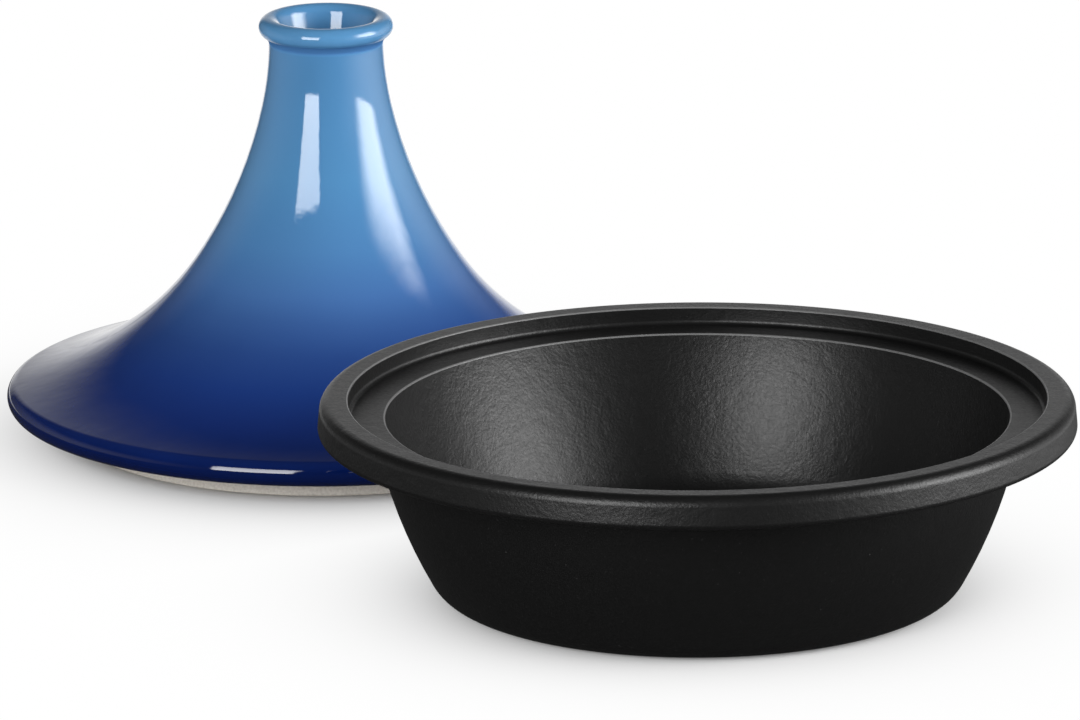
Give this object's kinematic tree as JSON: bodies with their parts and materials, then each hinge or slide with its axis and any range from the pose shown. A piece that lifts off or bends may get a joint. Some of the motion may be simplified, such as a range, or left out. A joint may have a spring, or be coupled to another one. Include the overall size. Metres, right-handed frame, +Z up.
{
  "type": "tagine pot",
  "caption": "Low round cooking pot: a black cast iron base with a stepped rim, and a tall flared conical lid in blue glazed stoneware with a beaded open cup at its top.",
  "frame": {"origin": "on the base's axis, at the centre of its flat bottom, level with the ground that both pieces stand on", "axes": "+Z up along the base's axis; the lid stands on the ground behind the base (+Y) and to its left (-X), as pictured"},
  "size_m": [0.4693, 0.5746, 0.1905],
  "materials": {
    "black_enamel": "satin black enamel with a fine cast texture",
    "blue_glaze": "glossy blue glaze, light at the neck and navy at the brim; bare cream stoneware on the foot"
  },
  "bodies": {
    "base": {"base": "black_enamel"},
    "lid": {"lid": "blue_glaze"}
  },
  "joints": [
    {"name": "lid_lift", "type": "slide", "parent": "base", "child": "lid", "axis": [0, 0, 1], "range_m": [0, 0.2]}
  ]
}
